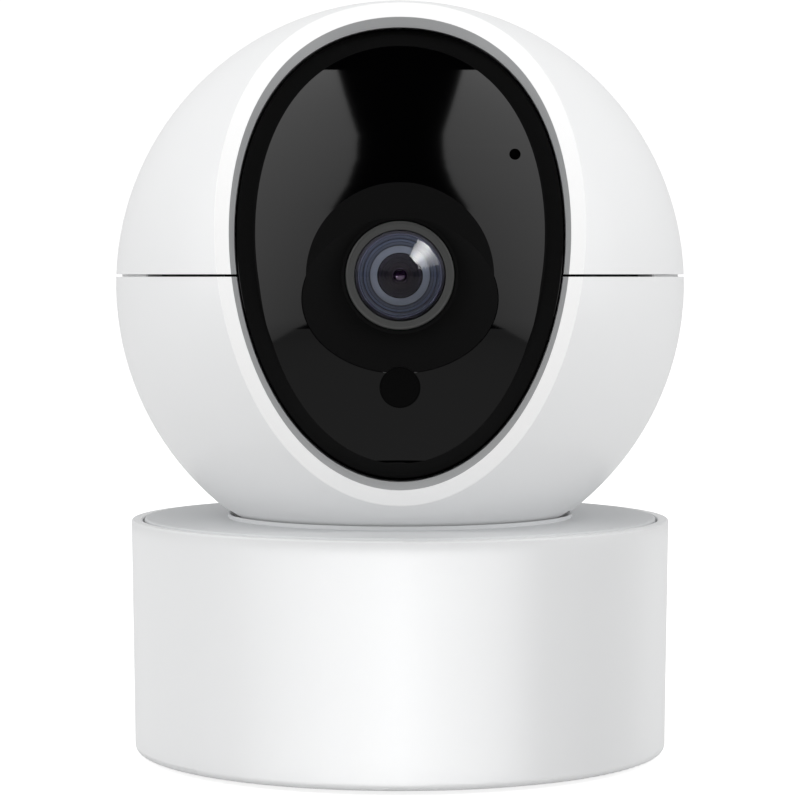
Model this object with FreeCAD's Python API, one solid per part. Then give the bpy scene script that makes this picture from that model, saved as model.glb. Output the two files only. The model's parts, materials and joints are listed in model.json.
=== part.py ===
"""A pan-and-tilt indoor security camera: a white ball with an egg-shaped black face, on a drum base.

Frame: millimetres, +Z up, the face looks along -Y. The origin is on the pan axis, on the surface that
the rubber feet stand on. The ball tilts about a line parallel to X through its centre. The face is the
ball shaved by a large horizontal cylinder, which is what gives the bezel its egg outline.
Each function makes one sub-part, and the list at the end names them.
"""
import FreeCAD
import Part
import math
import os

V = FreeCAD.Vector

# ---- driving dimensions -------------------------------------------------------------------------
BALL_R = 42.5            # outside of the ball
BALL_UP = 35.0           # the ball's centre, which is also the tilt axis, above the base's rim
SHELL_WALL = 1.6
SEAM_UP = 1.3            # the shells part this far above the ball's centre
SEAM_GAP = 0.35
FACE_R = 57.7            # radius of the cylinder that shaves the face
FACE_Y = 23.1            # its axis, behind the ball's centre
FACE_DROP = 6.34         # and below it
RING_W = 1.1             # the flat bezel ring ends where a ball this much smaller meets the face
BEVEL_W = 1.72           # the bevel inside the ring ends where one smaller still meets the sunk face
EGG_DROP = 0.35          # the centre of those balls, below the big ball's centre
BEVEL_DEPTH = 1.5
PANEL_GAP = 0.1
PANEL_LEDGE_DEPTH = 2.3
PANEL_LEDGE_W = 1.28     # round the raised middle of the panel
PANEL_TOP_DEPTH = 1.3
PANEL_BACK_DEPTH = 4.5
FRONT_WALL = 5.7

BASE_TOP_R = 40.2
BASE_FOOT_R = 39.6
BASE_WALL = 1.65
FOOT_PROUD = 0.6         # the rubber feet stand this far below the base
RIM_Z = 35.0
DECK_PROUD = 0.2         # the turning deck stands this far above the rim
DECK_T = 2.0
DECK_GAP = 0.3           # between the deck and the rim
SEAT_GAP = 0.25          # between the ball and its collar
COLLAR_R = 25.8
COLLAR_H = 0.55

PLATE_T = 2.0            # bottom plate
WEB_DROP = 16.6          # floor inside the base, below the rim, which carries the turntable
WEB_T = 2.0
HUB_R = 8.0
HUB_BORE_R = 5.0
SHOULDER_R = 10.0
RUN_GAP = 0.05           # running clearance of a shaft in its bush
CUP_DROP = 11.4          # underside of the cup's floor, below the rim
CUP_FLOOR_T = 1.8
CUP_R = 25.6
CUP_WALL = 1.6
CUP_FLANGE_R = 31.0
DECK_RIB_H = 2.0
FLANGE_T = 1.5

ADDENDUM = 0.8           # stub teeth, in modules
DEDENDUM = 1.05
PRESSURE = math.radians(20)
BACKLASH = 0.12
PAN_MODULE = 0.8
PAN_GEAR_TEETH = 56
PAN_PINION_TEETH = 14
TILT_MODULE = 0.6
TILT_GEAR_TEETH = 32
TILT_PINION_TEETH = 14
GEAR_T = 2.2

TILT_DOWN = 10.0         # degrees that the ball can look down and up
TILT_UP = 75.0
ARM_T = 2.5
ARM_W = 10.0
SLOT_HALF = 1.9
AXLE_R = 1.5
BUSH_R = 3.0
EAR_X = 4.85             # inner face of the head frame's ears
EAR_T = 1.6

LENS_R = 7.6
GLASS_R = 6.4
BAFFLE_R = 6.2
LENS_FRONT_Y = -32.6
DISH_R = 13.1
DISH_DEPTH = 1.7
BOARD_T = 1.2
SENSOR_BOARD_Y = -14.3
IR_BOARD_Y = -24.2
MAIN_BOARD_Y = 14.6
MOTOR_R = 10.0
MOTOR_L = 13.0
MOTOR_OFFSET = 4.5       # between a motor's shaft and the middle of its can

BALL_Z = RIM_Z + BALL_UP
DECK_Z = RIM_Z + DECK_PROUD
WEB_Z = RIM_Z - WEB_DROP
CUP_FLOOR_Z = RIM_Z - CUP_DROP
RING_IN_R = BALL_R - RING_W
BEZEL_IN_R = RING_IN_R - BEVEL_W
PANEL_EDGE_R = BEZEL_IN_R - PANEL_GAP
PANEL_TOP_R = PANEL_EDGE_R - PANEL_LEDGE_W
SEAM_Z = BALL_Z + SEAM_UP
LENS_Z = SEAM_Z
FACE_Z = BALL_Z - FACE_DROP
CAVITY_R = BALL_R - SHELL_WALL
PLATE_TOP = FOOT_PROUD + PLATE_T
BASE_IN_R = BASE_TOP_R - BASE_WALL
DECK_R = BASE_IN_R - DECK_GAP
DECK_UNDER = DECK_Z - DECK_T
RIB_UNDER = DECK_UNDER - DECK_RIB_H
PAN_DISTANCE = PAN_MODULE * (PAN_GEAR_TEETH + PAN_PINION_TEETH) / 2
TILT_DISTANCE = TILT_MODULE * (TILT_GEAR_TEETH + TILT_PINION_TEETH) / 2
ARM_FOOT_Z = CUP_FLOOR_Z + CUP_FLOOR_T
ARM_FOOT_T = 1.5
WEB_TOP = WEB_Z + WEB_T
BUSH_FLANGE_T = 0.8
SHOULDER_Z = WEB_TOP + BUSH_FLANGE_T
BOARD_Z = 8.0
PILOT_R = 1.02           # holes that the screws thread into
BEYOND = 60.0            # past the outside of the ball, for cutting tools

POSTS = [(35.0 * math.cos(math.radians(a)), 35.0 * math.sin(math.radians(a))) for a in (25, 155, 205, 335)]
SHELL_POSTS = [(17.0, 16.0), (-17.0, 16.0), (23.0, -7.0), (-23.0, -7.0)]
FEET = [(31.0 * math.cos(math.radians(a)), 31.0 * math.sin(math.radians(a))) for a in (45, 135, 225, 315)]
SPEAKER = (17.0, -9.0)
SPEAKER_R = 11.0


# ---- shapes that many sub-parts use -----------------------------------------------------------------
def post(r, z0, z1, x=0.0, y=0.0):
    return Part.makeCylinder(r, z1 - z0, V(x, y, z0))


def ring(r_out, r_in, z0, z1, x=0.0, y=0.0):
    return post(r_out, z0, z1, x, y).cut(post(r_in, z0 - 1, z1 + 1, x, y))


def rod_x(r, x0, x1, y=0.0, z=BALL_Z):
    return Part.makeCylinder(r, x1 - x0, V(x0, y, z), V(1, 0, 0))


def rod_y(r, y0, y1, x=0.0, z=LENS_Z):
    return Part.makeCylinder(r, y1 - y0, V(x, y0, z), V(0, 1, 0))


def block(x0, x1, y0, y1, z0, z1):
    return Part.makeBox(x1 - x0, y1 - y0, z1 - z0, V(x0, y0, z0))


def fused(shapes):
    whole = shapes[0]
    for s in shapes[1:]:
        whole = whole.fuse(s)
    return whole.removeSplitter()


def without(shape, tools):
    for t in tools:
        shape = shape.cut(t)
    return shape


def ball(r):
    return Part.makeSphere(r, V(0, 0, BALL_Z))


def face_drum(depth):
    """The horizontal cylinder of the face, sunk by depth below the bezel's surface."""
    return Part.makeCylinder(FACE_R - depth, 2 * BEYOND, V(-BEYOND, FACE_Y, FACE_Z), V(1, 0, 0))


def face_y(up, depth):
    """Y of the face at a height above the ball's centre."""
    return FACE_Y - math.sqrt((FACE_R - depth) ** 2 - (up + FACE_DROP) ** 2)


def egg_prism(r, depth, y0, y1):
    """The outline where a ball of radius r meets the face at a depth, pushed along Y."""

    def room(up):
        return r * r - (up + EGG_DROP) ** 2 - face_y(up, depth) ** 2

    def end(inside, outside):
        for _ in range(60):
            middle = (inside + outside) / 2
            if room(middle) > 0:
                inside = middle
            else:
                outside = middle
        return inside

    top, bottom = end(0.0, r), end(0.0, -r)
    steps = 24
    right = []
    for i in range(steps + 1):
        up = (top + bottom) / 2 + (top - bottom) / 2 * math.cos(math.pi * i / steps)
        right.append((math.sqrt(max(room(up), 0.0)), up))
    right[0], right[-1] = (0.0, top), (0.0, bottom)
    outline = right + [(-x, up) for x, up in reversed(right[1:-1])]
    spline = Part.BSplineCurve()
    spline.interpolate([V(x, y0, BALL_Z + up) for x, up in outline], PeriodicFlag=True)
    return Part.Face(Part.Wire(spline.toShape())).extrude(V(0, y1 - y0, 0))


def bevel_body():
    """The body whose skin joins the ring's inner edge to the sunk face's edge.

    Both edges lie where (distance from the ball's centre) squared, less share times (distance from the
    face's axis) squared, has one value. That surface is an ellipse turned about a line along X."""
    share = (RING_IN_R**2 - BEZEL_IN_R**2) / (FACE_R**2 - (FACE_R - BEVEL_DEPTH) ** 2)
    value = RING_IN_R**2 - share * FACE_R**2
    rest = 1 - share
    drop = FACE_DROP - EGG_DROP
    middle = V(0, -share * FACE_Y / rest, BALL_Z - EGG_DROP + share * drop / rest)
    half_x = math.sqrt(value + share * (FACE_Y**2 + drop**2) / rest)
    radius = half_x / math.sqrt(rest)
    ellipse = Part.Ellipse(middle + V(0, radius, 0), middle + V(half_x, 0, 0), middle)
    arc = Part.Arc(ellipse, -math.pi / 2, math.pi / 2).toShape()
    chord = Part.makeLine(arc.Vertexes[-1].Point, arc.Vertexes[0].Point)
    return Part.Face(Part.Wire([arc, chord])).revolve(middle, V(1, 0, 0), 360)


def screw(x, y, z, up, length, shank=1.0, head=2.0, head_h=1.2):
    """A pan-head screw with a cross recess. z is the underside of its head, and up is +1 or -1."""
    body = Part.makeCylinder(head, head_h, V(x, y, z), V(0, 0, -up))
    body = body.fuse(Part.makeCylinder(shank, length, V(x, y, z), V(0, 0, up)))
    top = z - up * head_h
    for dx, dy in ((1.1, 0.25), (0.25, 1.1)):
        body = body.cut(block(x - dx, x + dx, y - dy, y + dy, min(top, top + up * 0.6), max(top, top + up * 0.6)))
    return body


def gear(module, teeth, thickness, bore, gap_first):
    """A spur gear on +Z from z 0, with a tooth, or a gap if gap_first, centred on +X."""
    pitch_r = module * teeth / 2
    base_r = pitch_r * math.cos(PRESSURE)
    tip_r = pitch_r + ADDENDUM * module
    root_r = pitch_r - DEDENDUM * module
    start_r = max(base_r, root_r)

    def half_angle(r):
        """Half of the tooth's angle at radius r."""
        turn = math.acos(base_r / r)
        at_pitch = (math.pi * module / 2 - BACKLASH) / 2 / pitch_r
        return at_pitch + (math.tan(PRESSURE) - PRESSURE) - (math.tan(turn) - turn)

    def at(r, angle):
        return V(r * math.cos(angle), r * math.sin(angle), 0)

    step = 2 * math.pi / teeth
    edges = []
    for i in range(teeth):
        middle = (i + (0.5 if gap_first else 0.0)) * step
        low, mid, high = start_r, (start_r + tip_r) / 2, tip_r
        a_low, a_mid, a_high = half_angle(low), half_angle(mid), half_angle(high)
        if root_r < start_r:
            edges.append(Part.makeLine(at(root_r, middle - a_low), at(low, middle - a_low)))
        rise = Part.Arc(at(low, middle - a_low), at(mid, middle - a_mid), at(high, middle - a_high))
        fall = Part.Arc(at(high, middle + a_high), at(mid, middle + a_mid), at(low, middle + a_low))
        tip = Part.Arc(at(high, middle - a_high), at(high, middle), at(high, middle + a_high))
        edges += [rise.toShape(), tip.toShape(), fall.toShape()]
        if root_r < start_r:
            edges.append(Part.makeLine(at(low, middle + a_low), at(root_r, middle + a_low)))
        after = middle + step - a_low
        valley = Part.Arc(at(root_r, middle + a_low), at(root_r, middle + step / 2), at(root_r, after))
        edges.append(valley.toShape())
    body = Part.Face(Part.Wire(edges)).extrude(V(0, 0, thickness))
    return body.cut(post(bore, -1, thickness + 1))


def stood_along_x(shape, x, y, z):
    """Turns a shape made on +Z so that it lies along +X, its +X pointing up, then moves it."""
    shape = shape.copy()
    shape.Placement = FreeCAD.Placement(V(x, y, z), FreeCAD.Rotation(V(0, 0, 1), V(0, 1, 0), V(1, 0, 0), "ZYX"))
    return shape


def stood_along_y(shape, x, y, z):
    """Turns a shape made on +Z so that it points along -Y, then moves it."""
    shape = shape.copy()
    shape.Placement = FreeCAD.Placement(V(x, y, z), FreeCAD.Rotation(V(1, 0, 0), 90))
    return shape


# ---- base ---------------------------------------------------------------------------------------------
MOTOR_X = -(PAN_DISTANCE - MOTOR_OFFSET)
MOTOR_EAR = 13.5
MOTOR_TAB_R = 2.6
BUSH_OUT_R = 6.5
HUB_UNDER = WEB_Z - 4.0
USB_W, USB_H, USB_L = 9.0, 3.2, 7.4
BUTTON_X, BUTTON_Z = 12.0, 11.9
BUTTON_R = 1.5
BUTTON_TRAVEL = 0.6
BASE_LOW_R = 37.7        # inside of the base below the web
RECESS_FLOOR_Z = 28.0    # the wall is thinner above this, to make room for the deck
SWITCH_FACE_Y = 33.2
STOP_R0, STOP_R1 = 15.1, 16.7
STOP_HALF = 5.0          # degrees: two of these lugs leave 340 degrees of turning
GEAR_RING_IN_R = 17.2


def lug(middle, z0, z1):
    """A piece of ring between the two stop radii, for the ends of the pan travel."""
    wedge = Part.makeCylinder(STOP_R1, z1 - z0, V(0, 0, z0), V(0, 0, 1), 2 * STOP_HALF)
    wedge.rotate(V(0, 0, 0), V(0, 0, 1), middle - STOP_HALF)
    return wedge.cut(post(STOP_R0, z0 - 1, z1 + 1))


def base_housing():
    height = RIM_Z - FOOT_PROUD
    drum = Part.makeCone(BASE_FOOT_R, BASE_TOP_R, height, V(0, 0, FOOT_PROUD))
    drum = drum.makeFillet(1.0, [drum.Edges[i] for i in range(3) if abs(drum.Edges[i].BoundBox.ZMax - FOOT_PROUD) < 0.01])
    drum = drum.cut(post(BASE_LOW_R, FOOT_PROUD - 1, WEB_Z))
    drum = drum.cut(post(BASE_LOW_R, WEB_TOP, RIM_Z + 1)).cut(post(BASE_IN_R, RECESS_FLOOR_Z, RIM_Z + 1))
    rim = [e for e in drum.Edges if abs(e.BoundBox.ZMin - RIM_Z) < 0.01 and abs(e.BoundBox.ZMax - RIM_Z) < 0.01]
    drum = drum.makeFillet(0.3, rim)
    drum = drum.fuse(post(HUB_R, HUB_UNDER, WEB_Z + 0.5))
    for x, y in POSTS:
        drum = drum.fuse(post(3.2, PLATE_TOP, WEB_Z + 0.5, x, y).common(post(38.4, 0, 40)))
    drum = drum.fuse(lug(270, WEB_TOP - 0.2, WEB_TOP + 2.4))
    for x, y in POSTS:
        drum = drum.cut(post(PILOT_R, PLATE_TOP - 1, PLATE_TOP + 8, x, y))
    drum = drum.cut(post(BUSH_OUT_R, HUB_UNDER - 1, WEB_TOP + 1))
    drum = drum.cut(post(4.6, WEB_Z - 1, WEB_TOP + 1, -PAN_DISTANCE, 0))
    for s in (1, -1):
        drum = drum.cut(post(PILOT_R, WEB_Z - 1, WEB_TOP - 0.4, MOTOR_X, s * MOTOR_EAR))
    z0 = BOARD_Z + BOARD_T
    drum = drum.cut(block(-USB_W / 2 - 0.2, USB_W / 2 + 0.2, 30, 50, z0 - 0.2, z0 + USB_H + 0.2))
    drum = drum.cut(rod_y(BUTTON_R + 0.1, 30, 50, BUTTON_X, BUTTON_Z))
    return drum.removeSplitter()


def bottom_plate():
    plate = post(BASE_LOW_R - 0.1, FOOT_PROUD, PLATE_TOP)
    plate = plate.fuse(post(7.0, PLATE_TOP - 0.5, 10.6))
    sx, sy = SPEAKER
    plate = plate.fuse(ring(SPEAKER_R + 1.4, SPEAKER_R + 0.15, PLATE_TOP - 0.5, PLATE_TOP + 2.0, sx, sy).cut(post(7.0, 0, 20)))
    for x, y in BOARD_POSTS:
        plate = plate.fuse(post(2.4, PLATE_TOP - 0.5, BOARD_Z, x, y))
    tools = [post(5.1, 0, FOOT_PROUD + 0.8, x, y) for x, y in FEET]
    for x, y in POSTS:
        tools += [post(2.15, 0, FOOT_PROUD + 1.2, x, y), post(1.1, 0, PLATE_TOP + 1, x, y)]
    for x, y in BOARD_POSTS:
        tools.append(post(PILOT_R, FOOT_PROUD + 1.0, BOARD_Z + 1, x, y))
    tools.append(post(4.5, 0, 9.6))
    for row in range(-3, 4):
        for col in range(-3, 4):
            x, y = sx + 2.6 * col, sy + 2.6 * row
            if math.hypot(x - sx, y - sy) < SPEAKER_R - 3.0 and min(math.hypot(x - fx, y - fy) for fx, fy in FEET) > 6.4:
                tools.append(post(0.7, 0, PLATE_TOP + 1, x, y))
    return without(plate, [fused(tools)]).removeSplitter()


BOARD_POSTS = [(-9.0, 14.0), (17.0, 14.0), (-9.0, 28.0), (17.0, 27.0)]


def rubber_feet():
    feet = []
    for x, y in FEET:
        foot = post(5.0, 0, FOOT_PROUD + 0.8, x, y)
        edge = [e for e in foot.Edges if e.BoundBox.ZMax < 0.01]
        feet.append(foot.makeFillet(0.3, edge))
    return Part.makeCompound(feet)


def ballast_weight():
    weight = Part.makeCylinder(33.0, 7.0, V(0, 0, PLATE_TOP), V(0, 0, 1), 62)
    weight.rotate(V(0, 0, 0), V(0, 0, 1), 216)
    return weight.cut(post(14.0, 0, 20))


def bottom_screws():
    return Part.makeCompound([screw(x, y, FOOT_PROUD + 1.2, 1, 6.5) for x, y in POSTS])


def tripod_insert():
    """The socket of a tripod: a knurled sleeve with a 6.35 mm bore, flush with the underside."""
    sleeve = ring(4.5, 3.175, FOOT_PROUD, 9.6)
    return sleeve.cut(ring(5.0, 4.1, 4.2, 5.8))


def pan_motor():
    can = post(MOTOR_R, WEB_Z - MOTOR_L, WEB_Z - 0.8, MOTOR_X, 0)
    flange = block(MOTOR_X - MOTOR_TAB_R, MOTOR_X + MOTOR_TAB_R, -MOTOR_EAR, MOTOR_EAR, WEB_Z - 0.8, WEB_Z)
    for s in (1, -1):
        flange = flange.fuse(post(MOTOR_TAB_R, WEB_Z - 0.8, WEB_Z, MOTOR_X, s * MOTOR_EAR))
    flange = flange.fuse(post(MOTOR_R, WEB_Z - 0.8, WEB_Z, MOTOR_X, 0))
    for s in (1, -1):
        flange = flange.cut(post(1.1, WEB_Z - 2, WEB_Z + 1, MOTOR_X, s * MOTOR_EAR))
    boss = post(4.5, WEB_Z - 0.2, WEB_Z + 1.2, -PAN_DISTANCE, 0)
    cover = block(MOTOR_X + 2.0, MOTOR_X + 12.4, -5.0, 5.0, WEB_Z - MOTOR_L + 1.0, WEB_Z - 2.0)
    motor = fused([can, flange, boss, cover])
    return motor.cut(post(1.06, WEB_Z - 8, WEB_Z + 2, -PAN_DISTANCE, 0)).removeSplitter()


def pan_motor_screws():
    return Part.makeCompound([screw(MOTOR_X, s * MOTOR_EAR, WEB_Z - 0.8, 1, 2.2) for s in (1, -1)])


def pan_bush():
    bush = post(BUSH_OUT_R, HUB_UNDER, WEB_TOP).fuse(post(9.0, WEB_TOP, SHOULDER_Z))
    return bush.cut(post(HUB_BORE_R, 0, 40)).removeSplitter()


PAN_GEAR_Z = CUP_FLOOR_Z - GEAR_T


def pan_pinion():
    z = PAN_GEAR_Z - 0.1
    pinion = gear(PAN_MODULE, PAN_PINION_TEETH, GEAR_T, 1.0, True)
    pinion.translate(V(-PAN_DISTANCE, 0, z))
    return pinion


def pan_motor_shaft():
    return post(1.0, WEB_Z - 6.0, PAN_GEAR_Z - 0.1 + GEAR_T + 0.4, -PAN_DISTANCE, 0)


def power_board():
    board = block(-12.0, 20.0, 11.0, 31.0, BOARD_Z, BOARD_Z + BOARD_T)
    board = board.fuse(block(-8.0, 16.0, 30.0, 33.5, BOARD_Z, BOARD_Z + BOARD_T))
    for x, y in BOARD_POSTS:
        board = board.cut(post(1.1, 0, 20, x, y))
    return board.removeSplitter()


def power_board_screws():
    return Part.makeCompound([screw(x, y, BOARD_Z + BOARD_T, -1, 4.0) for x, y in BOARD_POSTS])


def power_parts():
    """Capacitor, coil and chip on the power board."""
    z = BOARD_Z + BOARD_T
    return Part.makeCompound([
        post(2.5, z, z + 6.0, -4.0, 17.0), block(2.0, 8.0, 14.0, 20.0, z, z + 2.6),
        block(10.5, 14.5, 18.0, 22.0, z, z + 1.0), block(-4.0, -1.0, 24.0, 28.0, z, z + 1.4)])


def usb_socket():
    z, y1 = BOARD_Z + BOARD_T, 38.0
    x1 = USB_W / 2
    socket = block(-x1, x1, y1 - USB_L, y1, z, z + USB_H)
    edges = [e for e in socket.Edges if e.BoundBox.YMax - e.BoundBox.YMin > 5]
    socket = socket.makeFillet(1.4, edges)
    hole = block(-x1 + 0.35, x1 - 0.35, y1 - 6.0, y1 + 1, z + 0.35, z + USB_H - 0.35)
    edges = [e for e in hole.Edges if e.BoundBox.YMax - e.BoundBox.YMin > 5]
    hole = hole.makeFillet(1.1, edges)
    tongue = block(-x1 + 1.2, x1 - 1.2, y1 - 6.2, y1 - 0.9, z + USB_H / 2 - 0.35, z + USB_H / 2 + 0.35)
    return socket.cut(hole).fuse(tongue).removeSplitter()


def reset_button():
    wall_y = math.sqrt(BASE_LOW_R**2 - (BUTTON_X + 2.4) ** 2)
    y1 = math.sqrt((BASE_TOP_R + BASE_FOOT_R) ** 2 / 4 - (BUTTON_X + BUTTON_R) ** 2)
    flange_y = wall_y - 0.15
    stem = rod_y(BUTTON_R, flange_y - 1.0, y1 + 0.3, BUTTON_X, BUTTON_Z)
    stem = stem.fuse(rod_y(2.3, flange_y - 1.0, flange_y, BUTTON_X, BUTTON_Z))
    return stem.removeSplitter()


def reset_switch():
    """A side-press switch on the power board, under the button."""
    wall_y = math.sqrt(BASE_LOW_R**2 - (BUTTON_X + 2.4) ** 2)
    y1 = wall_y - 0.15 - 1.0 - BUTTON_TRAVEL - 0.1
    z = BOARD_Z + BOARD_T
    return fused([block(BUTTON_X - 3, BUTTON_X + 3, y1 - 3.6, y1 - 0.6, z, z + 4.4),
                  rod_y(1.0, y1 - 1, y1, BUTTON_X, BUTTON_Z)])


def speaker():
    x, y = SPEAKER
    frame = post(SPEAKER_R, PLATE_TOP, PLATE_TOP + 3.5, x, y).cut(post(SPEAKER_R - 1.4, 0, PLATE_TOP + 1.0, x, y))
    magnet = post(7.0, PLATE_TOP + 3.0, PLATE_TOP + 6.4, x, y)
    cone = Part.makeCone(2.0, SPEAKER_R - 1.4, 0.6, V(x, y, PLATE_TOP + 0.4))
    return fused([frame, magnet]).fuse(cone).removeSplitter()


# ---- turntable ----------------------------------------------------------------------------------------
DECK_BOSSES = [(28.4 * math.cos(math.radians(a)), 28.4 * math.sin(math.radians(a))) for a in (45, 135, 225, 315)]
ARM_SCREWS = [(12.0, 4.0), (-12.0, 4.0), (12.0, -4.0), (-12.0, -4.0)]
SPINDLE_R = HUB_BORE_R - RUN_GAP
SPINDLE_UNDER = 12.4


def deck_plate():
    deck = post(DECK_R, DECK_UNDER, DECK_Z)
    edge = [e for e in deck.Edges if e.BoundBox.ZMin > DECK_Z - 0.01]
    deck = deck.makeFillet(0.35, edge)
    deck = deck.fuse(post(COLLAR_R, DECK_Z - 0.5, DECK_Z + COLLAR_H))
    for x, y in DECK_BOSSES:
        deck = deck.fuse(post(2.4, RIB_UNDER, DECK_UNDER + 0.5, x, y))
    deck = deck.cut(ball(BALL_R + SEAT_GAP)).cut(post(CUP_R - CUP_WALL - 1.0, 0, 60))
    for x, y in DECK_BOSSES:
        deck = deck.cut(post(PILOT_R, RIB_UNDER - 1, DECK_Z - 0.8, x, y))
    return deck.removeSplitter()


def deck_cup():
    """The bowl under the ball, with the hollow spindle that the whole turntable runs on."""
    cup = post(CUP_R, CUP_FLOOR_Z, DECK_UNDER)
    cup = cup.fuse(post(CUP_FLANGE_R, RIB_UNDER - FLANGE_T, RIB_UNDER))
    cup = cup.cut(post(CUP_R - CUP_WALL, ARM_FOOT_Z, 60))
    cup = cup.fuse(post(SHOULDER_R, SHOULDER_Z, CUP_FLOOR_Z + 0.5))
    cup = cup.fuse(post(SPINDLE_R, SPINDLE_UNDER, CUP_FLOOR_Z + 0.5))
    cup = cup.fuse(lug(90, SHOULDER_Z, CUP_FLOOR_Z + 0.5))
    cup = cup.cut(post(3.4, 0, 60)).cut(ring(6.0, 4.3, 13.1, 14.2))
    for x, y in ARM_SCREWS:
        cup = cup.cut(post(1.1, 0, 60, x, y))
    for x, y in DECK_BOSSES:
        cup = cup.cut(post(1.1, 0, 60, x, y))
    return cup.removeSplitter()


def deck_screws():
    return Part.makeCompound([screw(x, y, RIB_UNDER - FLANGE_T, 1, 4.2) for x, y in DECK_BOSSES])


def pan_clip():
    """The spring clip that keeps the spindle in its bush."""
    clip = ring(7.4, 4.35, 13.2, 14.1)
    return clip.cut(block(-3.0, 3.0, 0, 10, 10, 20))


def pan_gear():
    ring_gear = gear(PAN_MODULE, PAN_GEAR_TEETH, GEAR_T, GEAR_RING_IN_R, False)
    ring_gear.translate(V(0, 0, PAN_GEAR_Z))
    return ring_gear


def tilt_arm():
    """A steel plate that stands in the slot of the ball and carries the tilt axle."""
    arm = block(-ARM_T / 2, ARM_T / 2, -ARM_W / 2, ARM_W / 2, ARM_FOOT_Z + 0.2, BALL_Z)
    arm = arm.fuse(rod_x(ARM_W / 2, -ARM_T / 2, ARM_T / 2))
    foot = block(-15.0, 15.0, -7.0, 7.0, ARM_FOOT_Z, ARM_FOOT_Z + ARM_FOOT_T)
    edges = [e for e in foot.Edges if e.BoundBox.ZMax - e.BoundBox.ZMin > 1]
    foot = foot.makeFillet(3.0, edges)
    arm = arm.fuse(foot)
    arm = arm.cut(rod_x(BUSH_R, -10, 10))
    for s in (1, -1):
        arm = arm.cut(rod_x(0.8, -10, 10, s * 2.6, BALL_Z - 7.2))
    for x, y in ARM_SCREWS:
        arm = arm.cut(post(PILOT_R, 0, 60, x, y))
    return arm.removeSplitter()


def arm_screws():
    return Part.makeCompound([screw(x, y, CUP_FLOOR_Z, 1, CUP_FLOOR_T + 1.4) for x, y in ARM_SCREWS])


def tilt_gear():
    wheel = gear(TILT_MODULE, TILT_GEAR_TEETH, GEAR_T, BUSH_R, False)
    wheel = stood_along_x(wheel, ARM_T / 2, 0, BALL_Z)
    for s in (1, -1):
        wheel = wheel.cut(rod_x(0.8, -10, 10, s * 2.6, BALL_Z - 7.2))
    return wheel


def gear_rivets():
    rivets = []
    for s in (1, -1):
        y, z = s * 2.6, BALL_Z - 7.2
        x0, x1 = -ARM_T / 2, ARM_T / 2 + GEAR_T
        rivets.append(fused([rod_x(0.8, x0 - 0.3, x1 + 0.3, y, z), rod_x(1.3, x0 - 0.5, x0, y, z),
                             rod_x(1.3, x1, x1 + 0.5, y, z)]))
    return Part.makeCompound(rivets)


def tilt_bush():
    return rod_x(BUSH_R, -EAR_X + 0.15, EAR_X - 0.15).cut(rod_x(AXLE_R + RUN_GAP, -20, 20))


# ---- head ---------------------------------------------------------------------------------------------
FLANGE_UNDER = 65.2      # the head frame's side plates, which the shells clamp
FLANGE_TOP = FLANGE_UNDER + EAR_T
EAR_OUT = EAR_X + EAR_T
FRAME_FRONT = -12.6
FRAME_BACK = 12.0
FRAME_UNDER = 57.0
FRAME_TOP = 95.0
TILT_MOTOR_Z = BALL_Z + TILT_DISTANCE + MOTOR_OFFSET
POST_R = 3.3
SHELL_SCREW_SEAT = 60.0
PANEL_FLANGE = FRONT_WALL + 0.05
PANEL_FLANGE_T = 1.5
SLOT_SPARE = 0.6         # degrees between the arm and the slot's ends when the ball is at its stops


def slot_cutter():
    spread = math.degrees(math.asin(ARM_W / 2 / CAVITY_R)) + SLOT_SPARE
    first, last = -(TILT_DOWN + spread), TILT_UP + spread
    corners = [V(-SLOT_HALF, 0, BALL_Z)]
    steps = 8
    for i in range(steps + 1):
        a = math.radians(first + (last - first) * i / steps)
        corners.append(V(-SLOT_HALF, BEYOND * math.sin(a), BALL_Z - BEYOND * math.cos(a)))
    corners.append(corners[0])
    return Part.Face(Part.makePolygon(corners)).extrude(V(2 * SLOT_HALF, 0, 0))


def whole_shell():
    shell = ball(BALL_R).common(face_drum(0))
    shell = shell.cut(ball(CAVITY_R).common(face_drum(FRONT_WALL)))
    shell = shell.cut(bevel_body().cut(face_drum(BEVEL_DEPTH)))
    return shell.cut(egg_prism(BEZEL_IN_R + 0.1, BEVEL_DEPTH, -BEYOND, 0))


def seam_tongue():
    """The lip of the lower shell that stands inside the upper one and keeps light out of the seam."""
    skin = ball(CAVITY_R - 0.15).common(face_drum(FRONT_WALL + PANEL_FLANGE_T + 0.4)).cut(ball(CAVITY_R - 1.3))
    low = ball(CAVITY_R + 0.3).common(face_drum(FRONT_WALL + PANEL_FLANGE_T + 0.4)).cut(ball(CAVITY_R - 1.3))
    skin = skin.common(block(-50, 50, -20, 50, SEAM_Z - 0.5, SEAM_Z + 1.5))
    low = low.common(block(-50, 50, -20, 50, SEAM_Z - 3.0, SEAM_Z - SEAM_GAP / 2))
    step = ball(BALL_R - 0.9).common(face_drum(FRONT_WALL + PANEL_FLANGE_T + 0.4)).cut(ball(CAVITY_R - 1.3))
    step = step.common(block(-50, 50, -20, 50, SEAM_Z - 0.5, SEAM_Z + SEAM_GAP / 2 - 0.02))
    return skin.fuse(low).fuse(step)


def shell_posts(z0, z1):
    posts = [post(POST_R, z0, z1, x, y) for x, y in SHELL_POSTS]
    return Part.makeCompound([p.common(ball(BALL_R - 0.6)) for p in posts])


def upper_shell():
    shell = whole_shell().common(block(-50, 50, -50, 50, SEAM_Z + SEAM_GAP / 2, 130))
    shell = shell.fuse(shell_posts(FLANGE_TOP, 130))
    for x, y in SHELL_POSTS:
        shell = shell.cut(post(PILOT_R, 0, FLANGE_TOP + 9.0, x, y))
    return shell.removeSplitter()


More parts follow.
